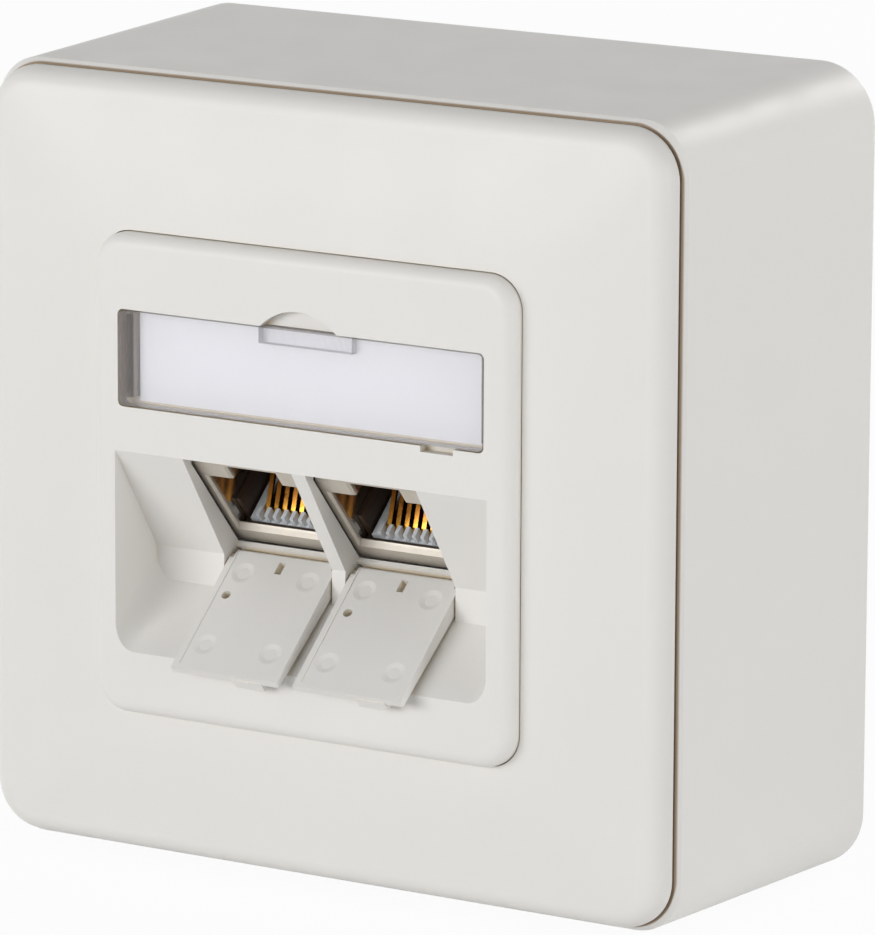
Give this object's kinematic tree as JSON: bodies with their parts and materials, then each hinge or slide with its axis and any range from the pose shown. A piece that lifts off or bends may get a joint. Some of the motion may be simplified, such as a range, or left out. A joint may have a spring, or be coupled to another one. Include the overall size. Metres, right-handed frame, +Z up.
{
  "type": "surface mount data outlet box",
  "caption": "Square surface mount wall box with a domed cover frame and slanted modular jacks behind hinged dust flaps under a label window.",
  "frame": {"origin": "centre of the flat back face that lies on the wall", "axes": "+Y into the wall, the front looks along -Y, +Z up, +X to the right seen from the front"},
  "size_m": [0.0834, 0.0445, 0.0834],
  "materials": {
    "white_polycarbonate": "satin gloss",
    "clear_polycarbonate": "clear gloss",
    "card": "matte",
    "zinc_plated_steel": "bright zinc",
    "nickel_plated_zinc": "satin nickel",
    "dark_thermoplastic": "matte",
    "pale_thermoplastic": "semi matte",
    "gold_plated_bronze": "polished",
    "glass_epoxy_board": "semi gloss",
    "tin_plated_bronze": "tin plated"
  },
  "bodies": {
    "base": {"surface_box": "white_polycarbonate", "cover_frame": "white_polycarbonate", "centre_plate": "white_polycarbonate", "label_window": "clear_polycarbonate", "label_card": "card", "plate_screw": "zinc_plated_steel", "support_frame": "zinc_plated_steel", "support_screws": "zinc_plated_steel", "left_jack_shell": "nickel_plated_zinc", "right_jack_shell": "nickel_plated_zinc", "left_jack_insert": "dark_thermoplastic", "right_jack_insert": "dark_thermoplastic", "left_contact_comb": "pale_thermoplastic", "right_contact_comb": "pale_thermoplastic", "left_jack_contacts": "gold_plated_bronze", "right_jack_contacts": "gold_plated_bronze", "circuit_board": "glass_epoxy_board", "left_terminal_block": "pale_thermoplastic", "right_terminal_block": "pale_thermoplastic", "left_terminal_blades": "tin_plated_bronze", "right_terminal_blades": "tin_plated_bronze", "module_housing": "nickel_plated_zinc", "module_lid": "nickel_plated_zinc", "module_rivets": "zinc_plated_steel"},
    "left_flap": {"left_flap": "white_polycarbonate"},
    "right_flap": {"right_flap": "white_polycarbonate"}
  },
  "joints": [
    {"name": "left_flap_hinge", "type": "hinge", "parent": "base", "child": "left_flap", "pos_m": [-0.0073, -0.03272, -0.00939], "axis": [-1, 0, 0], "range_deg": [0, 93]},
    {"name": "right_flap_hinge", "type": "hinge", "parent": "base", "child": "right_flap", "pos_m": [0.0073, -0.03272, -0.00939], "axis": [-1, 0, 0], "range_deg": [0, 93]}
  ]
}
